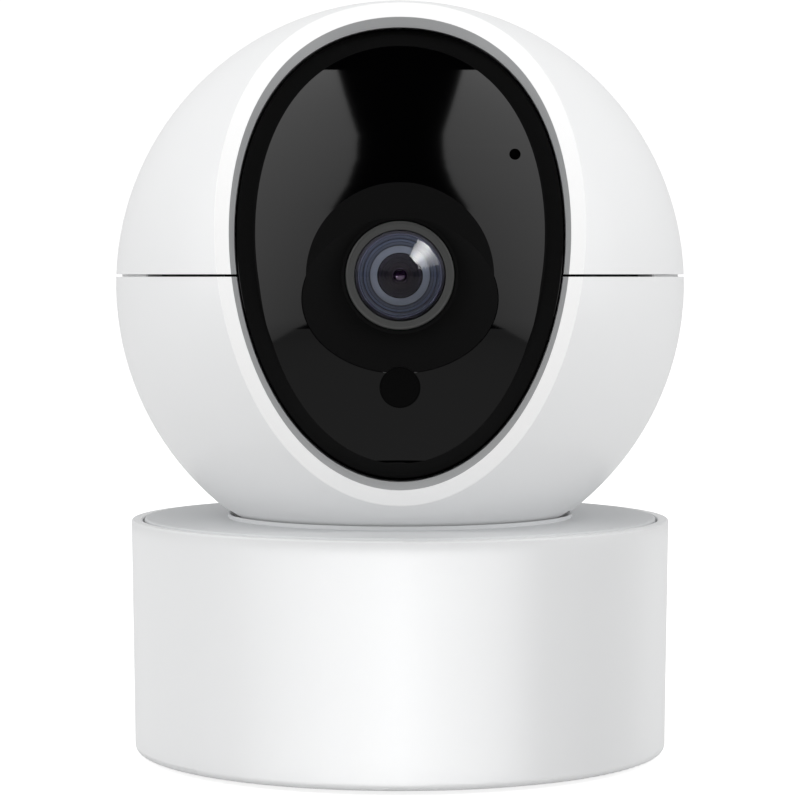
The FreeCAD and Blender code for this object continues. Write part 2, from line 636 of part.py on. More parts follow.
def lower_shell():
    shell = whole_shell().common(block(-50, 50, -50, 50, 0, SEAM_Z - SEAM_GAP / 2))
    shell = shell.cut(slot_cutter()).fuse(seam_tongue()).fuse(shell_posts(0, FLANGE_UNDER))
    for x, y in SHELL_POSTS:
        shell = shell.cut(post(2.2, 0, SHELL_SCREW_SEAT, x, y)).cut(post(1.1, 0, 100, x, y))
    return shell.removeSplitter()


def shell_screws():
    length = FLANGE_TOP + 8.0 - SHELL_SCREW_SEAT
    return Part.makeCompound([screw(x, y, SHELL_SCREW_SEAT, 1, length) for x, y in SHELL_POSTS])


SENSOR_SPOT = (0.0, -14.3)    # x, and height above the ball's centre
MIC_SPOT = (16.2, 18.4)
PANEL_POSTS = [(15.5, 8.5), (-15.5, 8.5), (14.0, -14.5), (-14.0, -14.5)]


def face_panel():
    """The glossy black face, with a shallow dish around the lens."""
    back = FRONT_WALL + PANEL_FLANGE_T + 0.05
    body = egg_prism(PANEL_EDGE_R, BEVEL_DEPTH, -BEYOND, 0).common(face_drum(PANEL_LEDGE_DEPTH))
    body = body.cut(egg_prism(PANEL_TOP_R - 0.6, BEVEL_DEPTH, -BEYOND, 0).common(face_drum(PANEL_BACK_DEPTH)))
    flange = egg_prism(BEZEL_IN_R + 1.2, BEVEL_DEPTH, -BEYOND, 0).common(face_drum(PANEL_FLANGE))
    flange = flange.common(ball(CAVITY_R - 0.1)).cut(egg_prism(PANEL_TOP_R - 0.6, BEVEL_DEPTH, -BEYOND, 0))
    raised = egg_prism(PANEL_TOP_R, BEVEL_DEPTH, -BEYOND, 0).common(face_drum(PANEL_TOP_DEPTH))
    raised = raised.cut(face_drum(PANEL_BACK_DEPTH - 1.0))
    panel = body.fuse(flange).fuse(raised).cut(face_drum(back))
    y0 = face_y(SEAM_UP, PANEL_TOP_DEPTH)
    for x, up in PANEL_POSTS:
        stem = rod_y(1.9, face_y(up, PANEL_BACK_DEPTH) - 1.5, IR_BOARD_Y - BOARD_T, x, BALL_Z + up)
        panel = panel.fuse(stem.common(face_drum(PANEL_BACK_DEPTH - 1.0)))
    slope = (DISH_R - LENS_R - 0.6) / DISH_DEPTH
    cone = Part.makeCone(DISH_R + 1.5 * slope, LENS_R + 0.6, 1.5 + DISH_DEPTH, V(0, y0 - 1.5, LENS_Z), V(0, 1, 0))
    panel = panel.cut(cone).cut(rod_y(LENS_R + 0.15, -BEYOND, 0))
    panel = panel.cut(rod_y(2.85, -BEYOND, 0, SENSOR_SPOT[0], BALL_Z + SENSOR_SPOT[1]))
    panel = panel.cut(rod_y(0.8, -BEYOND, 0, MIC_SPOT[0], BALL_Z + MIC_SPOT[1]))
    panel = panel.cut(rod_y(3.05, -BEYOND, 0, MIC_SPOT[0], BALL_Z + MIC_SPOT[1]).common(face_drum(PANEL_BACK_DEPTH)))
    for x, up in PANEL_POSTS:
        panel = panel.cut(rod_y(0.82, face_y(up, PANEL_BACK_DEPTH), 0, x, BALL_Z + up))
    return panel.removeSplitter()


def light_window():
    window = rod_y(2.8, -BEYOND, 0, SENSOR_SPOT[0], BALL_Z + SENSOR_SPOT[1])
    return window.common(face_drum(PANEL_TOP_DEPTH + 0.1)).cut(face_drum(PANEL_BACK_DEPTH))


def microphone():
    capsule = rod_y(3.0, -BEYOND, face_y(MIC_SPOT[1], PANEL_BACK_DEPTH) + 3.2, MIC_SPOT[0], BALL_Z + MIC_SPOT[1])
    capsule = capsule.common(face_drum(PANEL_BACK_DEPTH))
    return capsule.cut(rod_y(0.8, -BEYOND, face_y(MIC_SPOT[1], PANEL_BACK_DEPTH) + 1.0,
                             MIC_SPOT[0], BALL_Z + MIC_SPOT[1]))


def lens_barrel():
    """The tube of the lens, stepped inside to hold the glass."""
    y0 = LENS_FRONT_Y
    tube = rod_y(LENS_R, y0, HOLDER_FRONT_Y + 0.5).fuse(rod_y(5.6, HOLDER_FRONT_Y, HOLDER_FRONT_Y + 5.5))
    edge = [e for e in tube.Edges if e.BoundBox.YMax < y0 + 0.01]
    tube = tube.makeFillet(0.45, edge)
    return without(tube, [rod_y(GLASS_R, y0 - 1, y0 + 2.2), rod_y(BAFFLE_R, y0 - 1, y0 + 4.2),
                          rod_y(4.4, y0, 0)]).removeSplitter()


HOLDER_FRONT_Y = -24.8


def lens_front_glass():
    """The domed front element."""
    glass = rod_y(GLASS_R - 0.02, LENS_FRONT_Y + 0.1, LENS_FRONT_Y + 2.2)
    dome = Part.makeSphere(21.0, V(0, LENS_FRONT_Y + 0.35 + 21.0, LENS_Z))
    return glass.common(dome)


def lens_baffle():
    """The stepped ring behind the front element."""
    y0 = LENS_FRONT_Y + 2.2
    baffle = rod_y(BAFFLE_R - 0.02, y0, y0 + 2.0)
    cone = Part.makeCone(BAFFLE_R - 0.2, 3.1, 1.7, V(0, y0 - 0.01, LENS_Z), V(0, 1, 0))
    return baffle.cut(cone).cut(rod_y(3.1, y0, y0 + 3))


def lens_rear_glass():
    """The inner element and the iris, as one stack."""
    y0 = LENS_FRONT_Y + 4.2
    stack = rod_y(4.38, y0, y0 + 6.0)
    dome = Part.makeSphere(8.0, V(0, y0 - 0.9 + 8.0, LENS_Z)).common(rod_y(3.05, y0 - 1.0, y0 + 0.5))
    return stack.fuse(dome).removeSplitter()


def lens_holder():
    """The block on the sensor board that the lens tube screws into."""
    y1 = SENSOR_BOARD_Y - BOARD_T
    body = fused([block(-7.5, 7.5, y1 - 4.0, y1, LENS_Z - 7.5, LENS_Z + 7.5), rod_y(7.2, HOLDER_FRONT_Y + 0.5, y1 - 3.5)])
    body = body.cut(rod_y(5.65, -40, y1 - 3.0))
    return body.cut(block(-6.2, 6.2, y1 - 3.2, y1 + 1, LENS_Z - 6.2, LENS_Z + 6.2))


def sensor_board():
    y1 = SENSOR_BOARD_Y
    board = block(-13.0, 13.0, y1 - BOARD_T, y1, LENS_Z - 13.0, LENS_Z + 13.0)
    for s in (1, -1):
        board = board.cut(rod_y(1.1, -40, 0, 0, LENS_Z + s * 10.5))
    return board


def image_sensor():
    y1 = SENSOR_BOARD_Y - BOARD_T
    return block(-4.2, 4.2, y1 - 1.1, y1, LENS_Z - 3.6, LENS_Z + 3.6)


def across_screw(x, y, z, length):
    """A small screw whose head is in front and whose shank points to +Y."""
    body = screw(0, 0, 0, -1, length, 1.0, 1.9, 1.1)
    return stood_along_y(body, x, y, z)


def sensor_board_screws():
    y = SENSOR_BOARD_Y - BOARD_T
    return Part.makeCompound([across_screw(0, y, LENS_Z + s * 10.5, 3.4) for s in (1, -1)])


def ir_board():
    """The lamp board behind the face, with a hole for the lens."""
    y1 = IR_BOARD_Y
    board = block(-18.5, 18.5, y1 - BOARD_T, y1, BALL_Z - 19.0, BALL_Z + 12.5)
    edges = [e for e in board.Edges if e.BoundBox.YMax - e.BoundBox.YMin > 1]
    board = board.makeFillet(4.0, edges).cut(rod_y(LENS_R + 0.6, -60, 0))
    for x, up in PANEL_POSTS:
        board = board.cut(rod_y(0.9, -60, 0, x, BALL_Z + up))
    return board


def ir_board_screws():
    screws = []
    for x, up in PANEL_POSTS:
        body = screw(0, 0, 0, 1, 2.6, 0.8, 1.6, 0.9)
        screws.append(stood_along_y(body, x, IR_BOARD_Y, BALL_Z + up))
    return Part.makeCompound(screws)


def ir_lamps():
    y1 = IR_BOARD_Y - BOARD_T
    lamps = []
    for x, up in ((11.0, -6.0), (-11.0, -6.0), (11.5, 6.0), (-11.5, 6.0)):
        lamps.append(fused([block(x - 1.6, x + 1.6, y1 - 0.8, y1, BALL_Z + up - 1.6, BALL_Z + up + 1.6),
                            Part.makeSphere(1.3, V(x, y1 - 0.7, BALL_Z + up)).common(
                                block(x - 2, x + 2, y1 - 3, y1 - 0.3, BALL_Z + up - 2, BALL_Z + up + 2))]))
    return Part.makeCompound(lamps)


def light_sensor():
    y1 = IR_BOARD_Y - BOARD_T
    return block(-1.5, 1.5, y1 - 1.6, y1, BALL_Z + SENSOR_SPOT[1] - 1.5, BALL_Z + SENSOR_SPOT[1] + 1.5)


def head_frame():
    """The cage inside the ball: ears for the tilt axle, a wall for the lens and plates for the shells."""
    parts = [block(-EAR_OUT, EAR_OUT, FRAME_FRONT, FRAME_FRONT + EAR_T, FRAME_UNDER, FRAME_TOP),
             block(-EAR_OUT, EAR_OUT, FRAME_FRONT, FRAME_BACK, FRAME_TOP - EAR_T, FRAME_TOP),
             block(EAR_X, EAR_OUT, -5.0, 5.0, FRAME_TOP - 1, TILT_MOTOR_Z + MOTOR_EAR + 3.2)]
    for s in (1, -1):
        x0, x1 = sorted((s * EAR_X, s * EAR_OUT))
        parts.append(block(x0, x1, FRAME_FRONT, FRAME_BACK, FRAME_UNDER + 6, FRAME_TOP))
        x0, x1 = sorted((s * (EAR_OUT - 0.5), s * 20.4))
        parts.append(block(x0, x1, 2.0, 19.4, FLANGE_UNDER, FLANGE_TOP))
        x0, x1 = sorted((s * (EAR_OUT - 0.5), s * 26.4))
        parts.append(block(x0, x1, -10.4, 3.0, FLANGE_UNDER, FLANGE_TOP))
        parts.append(rod_y(2.2, SENSOR_BOARD_Y, FRAME_FRONT + 0.5, 0, LENS_Z + s * 10.5))
    for x in (-EAR_OUT + 0.1, EAR_X - 3.5):
        for z in (MAIN_BOARD_LOW, MAIN_BOARD_HIGH):
            parts.append(block(x, x + 4.9, FRAME_BACK - 1.0, MAIN_BOARD_Y, z - 2.2, z + 2.2))
    frame = fused(parts)
    tools = [rod_x(AXLE_R, -30, 30), rod_x(4.7, 0, 30, 0, BALL_Z + TILT_DISTANCE)]
    for s in (1, -1):
        tools.append(rod_x(PILOT_R, 0, 30, 0, TILT_MOTOR_Z + s * MOTOR_EAR))
        tools.append(rod_y(PILOT_R, -30, 0, 0, LENS_Z + s * 10.5))
    for x, y in SHELL_POSTS:
        tools.append(post(1.1, 0, 100, x, y))
    for x, z in MAIN_SCREWS:
        tools.append(rod_y(PILOT_R, FRAME_BACK - 1.5, 30, x, z))
    return without(frame, tools).removeSplitter()


MAIN_BOARD_LOW, MAIN_BOARD_HIGH = 77.5, 90.5
MAIN_SCREWS = [(s * 3.9, z) for s in (1, -1) for z in (MAIN_BOARD_LOW, MAIN_BOARD_HIGH)]


def tilt_motor():
    x0 = EAR_OUT
    z = TILT_MOTOR_Z
    parts = [rod_x(MOTOR_R, x0, x0 + MOTOR_L, 0, z), block(x0, x0 + 0.8, -MOTOR_TAB_R, MOTOR_TAB_R, z - MOTOR_EAR, z + MOTOR_EAR),
             rod_x(4.5, x0 - 1.2, x0 + 0.5, 0, BALL_Z + TILT_DISTANCE)]
    for s in (1, -1):
        parts.append(rod_x(MOTOR_TAB_R, x0, x0 + 0.8, 0, z + s * MOTOR_EAR))
    parts.append(block(x0 + 2.0, x0 + MOTOR_L - 1.0, 5.0, 11.8, z - 5.0, z + 5.0))
    motor = fused(parts)
    for s in (1, -1):
        motor = motor.cut(rod_x(1.1, 0, x0 + 0.9, 0, z + s * MOTOR_EAR))
    return motor.cut(rod_x(1.06, 0, x0 + 8.0, 0, BALL_Z + TILT_DISTANCE)).removeSplitter()


def tilt_motor_screws():
    screws = []
    for s in (1, -1):
        body = screw(0, 0, 0, -1, 2.2)
        screws.append(stood_along_x(body, EAR_OUT + 0.8, 0, TILT_MOTOR_Z + s * MOTOR_EAR))
    return Part.makeCompound(screws)


def tilt_pinion():
    pinion = gear(TILT_MODULE, TILT_PINION_TEETH, GEAR_T, 1.0, True)
    return stood_along_x(pinion, ARM_T / 2 + 0.1, 0, BALL_Z + TILT_DISTANCE)


def tilt_motor_shaft():
    return rod_x(1.0, ARM_T / 2 - 0.3, EAR_OUT + 6.0, 0, BALL_Z + TILT_DISTANCE)


def tilt_axle():
    axle = rod_x(AXLE_R, -EAR_OUT - 0.5, EAR_OUT + 1.4).fuse(rod_x(2.8, -EAR_OUT - 1.0, -EAR_OUT))
    return axle.cut(rod_x(5, EAR_OUT + 0.05, EAR_OUT + 0.7).cut(rod_x(1.1, 0, 20))).removeSplitter()


def axle_clip():
    clip = rod_x(2.1, EAR_OUT + 0.05, EAR_OUT + 0.65).cut(rod_x(1.12, 0, 20))
    return clip.cut(block(0, 20, 0, 5, BALL_Z - 0.8, BALL_Z + 0.8))


def main_board():
    y0 = MAIN_BOARD_Y
    board = block(-13.2, 13.2, y0, y0 + BOARD_T, 73.6, 101.0)
    for x, z in MAIN_SCREWS:
        board = board.cut(rod_y(1.1, 0, 40, x, z))
    return board


def main_board_screws():
    screws = []
    for x, z in MAIN_SCREWS:
        body = screw(0, 0, 0, 1, 3.4)
        screws.append(stood_along_y(body, x, MAIN_BOARD_Y + BOARD_T, z))
    return Part.makeCompound(screws)


def main_board_parts():
    """Processor, memory and plugs on the back of the main board."""
    y = MAIN_BOARD_Y + BOARD_T
    return Part.makeCompound([block(-4.5, 4.5, y, y + 1.2, 79.8, 88.4), block(7.0, 12.0, y, y + 1.0, 74.5, 77.5),
                              block(-12.0, -8.0, y, y + 3.4, 76.0, 84.0)])


def wifi_module():
    y = MAIN_BOARD_Y + BOARD_T
    return block(-6.5, 6.5, y, y + 2.2, 93.2, 100.4)


PARTS = {
    "base_housing": base_housing, "bottom_plate": bottom_plate, "rubber_feet": rubber_feet,
    "ballast_weight": ballast_weight, "bottom_screws": bottom_screws, "tripod_insert": tripod_insert,
    "pan_motor": pan_motor, "pan_motor_screws": pan_motor_screws, "pan_bush": pan_bush,
    "pan_pinion": pan_pinion, "pan_motor_shaft": pan_motor_shaft, "power_board": power_board,
    "power_board_screws": power_board_screws, "power_parts": power_parts, "usb_socket": usb_socket,
    "reset_button": reset_button, "reset_switch": reset_switch, "speaker": speaker,
    "deck_plate": deck_plate, "deck_cup": deck_cup, "deck_screws": deck_screws, "pan_clip": pan_clip,
    "pan_gear": pan_gear, "tilt_arm": tilt_arm, "arm_screws": arm_screws, "tilt_gear": tilt_gear,
    "gear_rivets": gear_rivets, "tilt_bush": tilt_bush,
    "upper_shell": upper_shell, "lower_shell": lower_shell, "shell_screws": shell_screws,
    "face_panel": face_panel, "light_window": light_window, "microphone": microphone,
    "lens_barrel": lens_barrel, "lens_front_glass": lens_front_glass, "lens_baffle": lens_baffle,
    "lens_rear_glass": lens_rear_glass, "lens_holder": lens_holder, "sensor_board": sensor_board,
    "image_sensor": image_sensor, "sensor_board_screws": sensor_board_screws, "ir_board": ir_board,
    "ir_board_screws": ir_board_screws, "ir_lamps": ir_lamps, "light_sensor": light_sensor,
    "head_frame": head_frame, "tilt_motor": tilt_motor, "tilt_motor_screws": tilt_motor_screws,
    "tilt_pinion": tilt_pinion, "tilt_motor_shaft": tilt_motor_shaft, "tilt_axle": tilt_axle,
    "axle_clip": axle_clip, "main_board": main_board, "main_board_screws": main_board_screws,
    "main_board_parts": main_board_parts, "wifi_module": wifi_module,
}

os.makedirs("parts", exist_ok=True)
for name, make in PARTS.items():
    shape = make()
    bad = [s for s in shape.Solids if not s.isValid()]
    box = shape.BoundBox
    print("%-20s solids %d  %s z %.2f..%.2f y %.2f..%.2f vol %.0f" % (
        name, len(shape.Solids), "BAD" if bad or not shape.Solids else "ok", box.ZMin, box.ZMax, box.YMin, box.YMax,
        shape.Volume))
    shape.exportStep("parts/%s.step" % name)
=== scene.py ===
# %% [markdown]
# # An indoor camera with a ball head: finishes, light and view
#
# This camera is a white ball that tilts in a turntable, on a drum base. Its shapes are already settled by
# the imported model, so this lesson is about what the model can't hold: how moulded plastic, a polished black
# face and a lens look, how a studio lights them, and where the viewer stands. All lengths are in metres.

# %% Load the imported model
import json
import math

import bmesh
import bpy
from mathutils import Matrix, Vector


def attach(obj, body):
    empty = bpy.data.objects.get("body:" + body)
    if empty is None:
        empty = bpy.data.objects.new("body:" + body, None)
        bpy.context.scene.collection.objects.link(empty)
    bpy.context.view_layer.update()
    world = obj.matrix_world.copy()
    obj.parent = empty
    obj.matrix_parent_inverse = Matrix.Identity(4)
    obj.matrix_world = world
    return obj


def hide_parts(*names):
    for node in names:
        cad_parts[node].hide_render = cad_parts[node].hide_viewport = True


MM = 0.001
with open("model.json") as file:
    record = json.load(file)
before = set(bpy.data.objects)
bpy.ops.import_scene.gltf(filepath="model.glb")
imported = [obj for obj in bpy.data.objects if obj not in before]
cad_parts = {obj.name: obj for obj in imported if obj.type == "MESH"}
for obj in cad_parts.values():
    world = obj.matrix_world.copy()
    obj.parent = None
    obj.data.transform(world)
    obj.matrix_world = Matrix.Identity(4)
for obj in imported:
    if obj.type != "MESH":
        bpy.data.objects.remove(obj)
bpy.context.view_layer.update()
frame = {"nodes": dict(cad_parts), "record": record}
nodes = frame["nodes"]
print("pieces in the packed model:", len(nodes))

# %% [markdown]
# ## The sizes that the looks need
#
# The face is the ball shaved by a big horizontal cylinder, so it is flat from side to side and curved from
# top to bottom. The lights further down use that curve, so its numbers are kept here, with the tilt centre
# and the height of the lens.

# %% Face and lens sizes
BALL_CENTRE = Vector((0.0, 0.0, 70.0 * MM))
FACE_RADIUS = 57.7 * MM
FACE_AXIS_Y = 23.1 * MM
FACE_AXIS_DROP = 6.34 * MM
PANEL_DEPTH = 1.3 * MM
LENS_HEIGHT = 71.3 * MM
DISH_RADIUS = 13.1 * MM
DISH_REACH = 14.5 * MM
EGG_CENTRE = BALL_CENTRE - Vector((0.0, 0.0, 0.35 * MM))
LENS_FRONT_Y = -32.6 * MM
GLASS_CURVE = 21.0 * MM
CAMERA_BACK = 440.0 * MM


def face_point(x, up):
    """The point on the black face at x, and up above the tilt centre, with its outward direction."""
    radius = FACE_RADIUS - PANEL_DEPTH
    rise = up + FACE_AXIS_DROP
    reach = math.sqrt(radius**2 - rise**2)
    point = Vector((x, FACE_AXIS_Y - reach, BALL_CENTRE.z + up))
    return point, Vector((0.0, -reach, rise)).normalized()


print("face at lens height: y = %.2f mm" % (face_point(0.0, 1.3 * MM)[0].y / MM))

# %% [markdown]
# ## A grain that every moulded piece shares
#
# Moulded plastic is never quite smooth: the mould leaves a fine grain, and the surface waves a little where
# the wall behind it changes. Both are noise at very different scales. A node group holds them once, and
# each material sets its own grain size and depth. The group puts out a height, a roughness and a tone, and
# leaves the shader itself in the material, because an export can't read a shader inside a group.

# %% Node group: moulded grain
def new_group(name, inputs, outputs):
    group = bpy.data.node_groups.new(name, "ShaderNodeTree")
    for label, kind, value in inputs:
        socket = group.interface.new_socket(name=label, in_out="INPUT", socket_type=kind)
        if value is not None:
            socket.default_value = value
    for label, kind in outputs:
        group.interface.new_socket(name=label, in_out="OUTPUT", socket_type=kind)
    return group, group.nodes.new("NodeGroupInput"), group.nodes.new("NodeGroupOutput")


def math_node(tree, operation, a, b):
    node = tree.nodes.new("ShaderNodeMath")
    node.operation = operation
    for socket, value in zip(node.inputs, (a, b)):
        if isinstance(value, (int, float)):
            socket.default_value = value
        else:
            tree.links.new(value, socket)
    return node.outputs[0]


def noise(tree, vector, scale, detail=2.0):
    node = tree.nodes.new("ShaderNodeTexNoise")
    node.inputs["Detail"].default_value = detail
    tree.links.new(vector, node.inputs["Vector"])
    if isinstance(scale, (int, float)):
        node.inputs["Scale"].default_value = scale
    else:
        tree.links.new(scale, node.inputs["Scale"])
    return node.outputs["Fac"]


F, C = "NodeSocketFloat", "NodeSocketColor"
grain, g_in, g_out = new_group(
    "moulded_grain",
    [("Vector", "NodeSocketVector", None), ("Grain Scale", F, 2500.0), ("Grain Height", F, 1.0),
     ("Roughness", F, 0.35), ("Roughness Spread", F, 0.06), ("Tone Spread", F, 0.02),
     ("Color", C, (0.8, 0.8, 0.8, 1))],
    [("Color", C), ("Roughness", F), ("Height", F)])
fine = noise(grain, g_in.outputs["Vector"], g_in.outputs["Grain Scale"], 3.0)
broad = noise(grain, g_in.outputs["Vector"], 60.0, 1.0)
height = math_node(grain, "ADD", math_node(grain, "MULTIPLY", fine, g_in.outputs["Grain Height"]),
                   math_node(grain, "MULTIPLY", broad, 0.6))
spread = math_node(grain, "MULTIPLY", math_node(grain, "SUBTRACT", fine, 0.5),
                   g_in.outputs["Roughness Spread"])
tone = math_node(grain, "ADD", 1.0, math_node(
    grain, "MULTIPLY", math_node(grain, "SUBTRACT", broad, 0.5), g_in.outputs["Tone Spread"]))
tint = grain.nodes.new("ShaderNodeVectorMath")
tint.operation = "SCALE"
grain.links.new(g_in.outputs["Color"], tint.inputs[0])
grain.links.new(tone, tint.inputs["Scale"])
grain.links.new(tint.outputs[0], g_out.inputs["Color"])
grain.links.new(math_node(grain, "ADD", g_in.outputs["Roughness"], spread), g_out.inputs["Roughness"])
grain.links.new(height, g_out.inputs["Height"])
print("moulded_grain nodes:", len(grain.nodes))

# %% [markdown]
# ## Materials for the moulded, cast and turned pieces
#
# Most pieces differ only in colour, roughness, grain and shine, so one function makes them all. Numbers
# that are the same all over a piece, such as its shine, go straight onto the Principled shader.


# %% A material with the shared grain
def moulded(name, color, rough, grain_scale=2500.0, grain_height=1.0, bump=0.04, tone=0.02, **sockets):
    material = bpy.data.materials.new(name)
    material.use_nodes = True
    tree = material.node_tree
    shader = tree.nodes["Principled BSDF"]
    coords = tree.nodes.new("ShaderNodeTexCoord")
    group = tree.nodes.new("ShaderNodeGroup")
    group.node_tree = grain
    group.inputs["Color"].default_value = (*color, 1)
    group.inputs["Grain Scale"].default_value = grain_scale
    group.inputs["Grain Height"].default_value = grain_height
    group.inputs["Roughness"].default_value = rough
    group.inputs["Tone Spread"].default_value = tone
    tree.links.new(coords.outputs["Object"], group.inputs["Vector"])
    tree.links.new(group.outputs["Color"], shader.inputs["Base Color"])
    tree.links.new(group.outputs["Roughness"], shader.inputs["Roughness"])
    relief = tree.nodes.new("ShaderNodeBump")
    relief.inputs["Strength"].default_value = bump
    relief.inputs["Distance"].default_value = 0.05 * MM
    tree.links.new(group.outputs["Height"], relief.inputs["Height"])
    tree.links.new(relief.outputs["Normal"], shader.inputs["Normal"])
    for label, value in sockets.items():
        shader.inputs[label.replace("_", " ")].default_value = value
    return material


WHITE = (0.86, 0.865, 0.87)
finishes = {
    "white_shell": moulded("shell_white", WHITE, 0.34, 1800, 0.5, 0.06, 0.015, Specular_IOR_Level=0.42),
    # The deck is the shell's white plastic painted darker: painted shade, for the ball's shade and the
    # grazing light on the deck.
    "white_deck": moulded("deck_white_painted_shade", (0.70, 0.71, 0.72), 0.55, 1500, 1.5, 0.5, 0.03,
                          Specular_IOR_Level=0.35),
    "face_black": moulded("face_black", (0.0004, 0.0004, 0.0005), 0.03, 900, 0.0, 0.0, 0.0,
                          Specular_IOR_Level=0.18),
    "lens_black": moulded("lens_black", (0.012, 0.012, 0.014), 0.38, 3000, 0.6, 0.05),
    "inner_plastic": moulded("inner_grey", (0.50, 0.51, 0.52), 0.5, 1500, 1.0, 0.2),
    "acetal": moulded("gear_ivory", (0.80, 0.78, 0.70), 0.4, 1500, 0.6, 0.08),
    "rubber": moulded("foot_rubber", (0.03, 0.03, 0.03), 0.75, 2500, 1.4, 0.5),
    "circuit_board": moulded("board_green", (0.012, 0.11, 0.045), 0.35, 1200, 0.6, 0.1, 0.2),
    "chip": moulded("chip_black", (0.02, 0.02, 0.022), 0.5, 2500, 1.0, 0.2),
    "steel": moulded("steel", (0.58, 0.58, 0.59), 0.3, 3000, 1.0, 0.1, 0.05, Metallic=1.0),
    "ballast_iron": moulded("ballast_iron", (0.16, 0.16, 0.16), 0.6, 900, 1.5, 0.6, 0.2, Metallic=1.0),
    "brass": moulded("insert_brass", (0.72, 0.53, 0.22), 0.28, 2500, 0.8, 0.1, 0.05, Metallic=1.0),
}
print("materials with the shared grain:", len(finishes))

# %% [markdown]
# The face is framed by a flat ring and, inside it, a greyer bevel. Both belong to the same moulding as the
# ball, so the shell's own material finds them. The bevel is the only outer skin that lies nearer than 41.35
# mm to the centre of the egg outline, and a soft step on that distance mixes the two tones. The ring is the
# part that lies on the big cylinder, found by its distance from the cylinder's axis, and its brighter colour
# is a painted highlight for the light that the flat ring catches. The helpers measure these distances, and
# the black face further down uses them too.


# %% Distances that the masks use
def places(tree):
    """The place on the piece, as one vector and as its three numbers."""
    coords = tree.nodes.new("ShaderNodeTexCoord")
    split = tree.nodes.new("ShaderNodeSeparateXYZ")
    tree.links.new(coords.outputs["Object"], split.inputs[0])
    return coords.outputs["Object"], split


def from_egg_centre(tree, place):
    away = tree.nodes.new("ShaderNodeVectorMath")
    away.operation = "DISTANCE"
    tree.links.new(place, away.inputs[0])
    away.inputs[1].default_value = EGG_CENTRE
    return away.outputs["Value"]


def sum_of_squares(tree, a, b):
    return math_node(tree, "ADD", math_node(tree, "MULTIPLY", a, a), math_node(tree, "MULTIPLY", b, b))


def from_face_axis_squared(tree, split):
    back = math_node(tree, "SUBTRACT", split.outputs["Y"], FACE_AXIS_Y)
    rise = math_node(tree, "SUBTRACT", split.outputs["Z"], BALL_CENTRE.z - FACE_AXIS_DROP)
    return sum_of_squares(tree, back, rise)


# %% Painted highlight on the ring, and grey bevel
def frame_the_face(material, bevel, ring, edge=41.35 * MM):
    tree = material.node_tree
    shader = tree.nodes["Principled BSDF"]
    colour = shader.inputs["Base Color"].links[0].from_socket
    place, split = places(tree)
    step = tree.nodes.new("ShaderNodeMapRange")
    for label, value in (("From Min", edge - 0.04 * MM), ("From Max", edge + 0.04 * MM)):
        step.inputs[label].default_value = value
    tree.links.new(from_egg_centre(tree, place), step.inputs["Value"])
    mix = tree.nodes.new("ShaderNodeMix")
    mix.data_type = "RGBA"
    tree.links.new(step.outputs["Result"], mix.inputs["Factor"])
    mix.inputs["A"].default_value = (*bevel, 1)
    tree.links.new(colour, mix.inputs["B"])
    # The ring's brighter colour is a painted highlight, for the light that the flat ring catches.
    on_cylinder = math_node(tree, "GREATER_THAN", from_face_axis_squared(tree, split),
                            (FACE_RADIUS - 0.06 * MM) ** 2)
    ring_painted_highlight_mask = math_node(tree, "MULTIPLY", on_cylinder, step.outputs["Result"])
    bright = tree.nodes.new("ShaderNodeMix")
    bright.data_type = "RGBA"
    tree.links.new(ring_painted_highlight_mask, bright.inputs["Factor"])
    tree.links.new(mix.outputs["Result"], bright.inputs["A"])
    bright.inputs["B"].default_value = (*ring, 1)
    tree.links.new(bright.outputs["Result"], shader.inputs["Base Color"])


ball_white = moulded("ball_white", WHITE, 0.34, 1800, 0.5, 0.06, 0.015, Specular_IOR_Level=0.42)
# ring is the colour of the ring's painted highlight.
frame_the_face(ball_white, bevel=(0.36, 0.365, 0.37), ring=(0.97, 0.97, 0.97))
print("ball_white nodes:", len(ball_white.node_tree.nodes))

# %% [markdown]
# The black face is polished in its middle, while its rim is left dull from the mould. The distance from the
# centre of the egg outline tells the rim from the middle, and it is stretched a little so that the rim
# narrows towards the bottom. The shallow dish round the lens is dull too, so that it holds no sharp mirror
# image. In its lower half the dish is the skin sunk below the polished middle, which reaches a little wider.


# %% Polished middle and dull ledge of the black face
def dull_ledge(material, polished, dull, edge=38.3 * MM, narrowing=0.03, sunk_shift=0.9 * MM):
    tree = material.node_tree
    shader = tree.nodes["Principled BSDF"]
    place, split = places(tree)
    below = math_node(tree, "MINIMUM", math_node(tree, "SUBTRACT", split.outputs["Z"], BALL_CENTRE.z), 0.0)
    reach = math_node(tree, "ADD", from_egg_centre(tree, place),
                      math_node(tree, "MULTIPLY", below, narrowing))
    sunk = math_node(tree, "LESS_THAN", from_face_axis_squared(tree, split),
                     (FACE_RADIUS - PANEL_DEPTH - 0.04 * MM) ** 2)
    reach = math_node(tree, "ADD", reach, math_node(tree, "MULTIPLY", sunk, sunk_shift))
    inside = math_node(tree, "LESS_THAN", reach, edge)
    up = math_node(tree, "SUBTRACT", split.outputs["Z"], LENS_HEIGHT)
    squares = sum_of_squares(tree, split.outputs["X"], up)
    low_half = math_node(tree, "MULTIPLY", sunk, math_node(tree, "LESS_THAN", squares, DISH_REACH**2))
    high_half = math_node(tree, "MULTIPLY", math_node(tree, "GREATER_THAN", up, -1.5 * MM),
                          math_node(tree, "LESS_THAN", squares, DISH_RADIUS**2))
    beyond_dish = math_node(tree, "SUBTRACT", 1.0, math_node(tree, "MAXIMUM", low_half, high_half))
    gloss = math_node(tree, "MULTIPLY", inside, beyond_dish)
    rough = math_node(tree, "ADD", dull, math_node(tree, "MULTIPLY", gloss, polished - dull))
    tree.links.new(rough, shader.inputs["Roughness"])


dull_ledge(finishes["face_black"], polished=0.03, dull=0.7)
print("face_black nodes:", len(finishes["face_black"].node_tree.nodes))
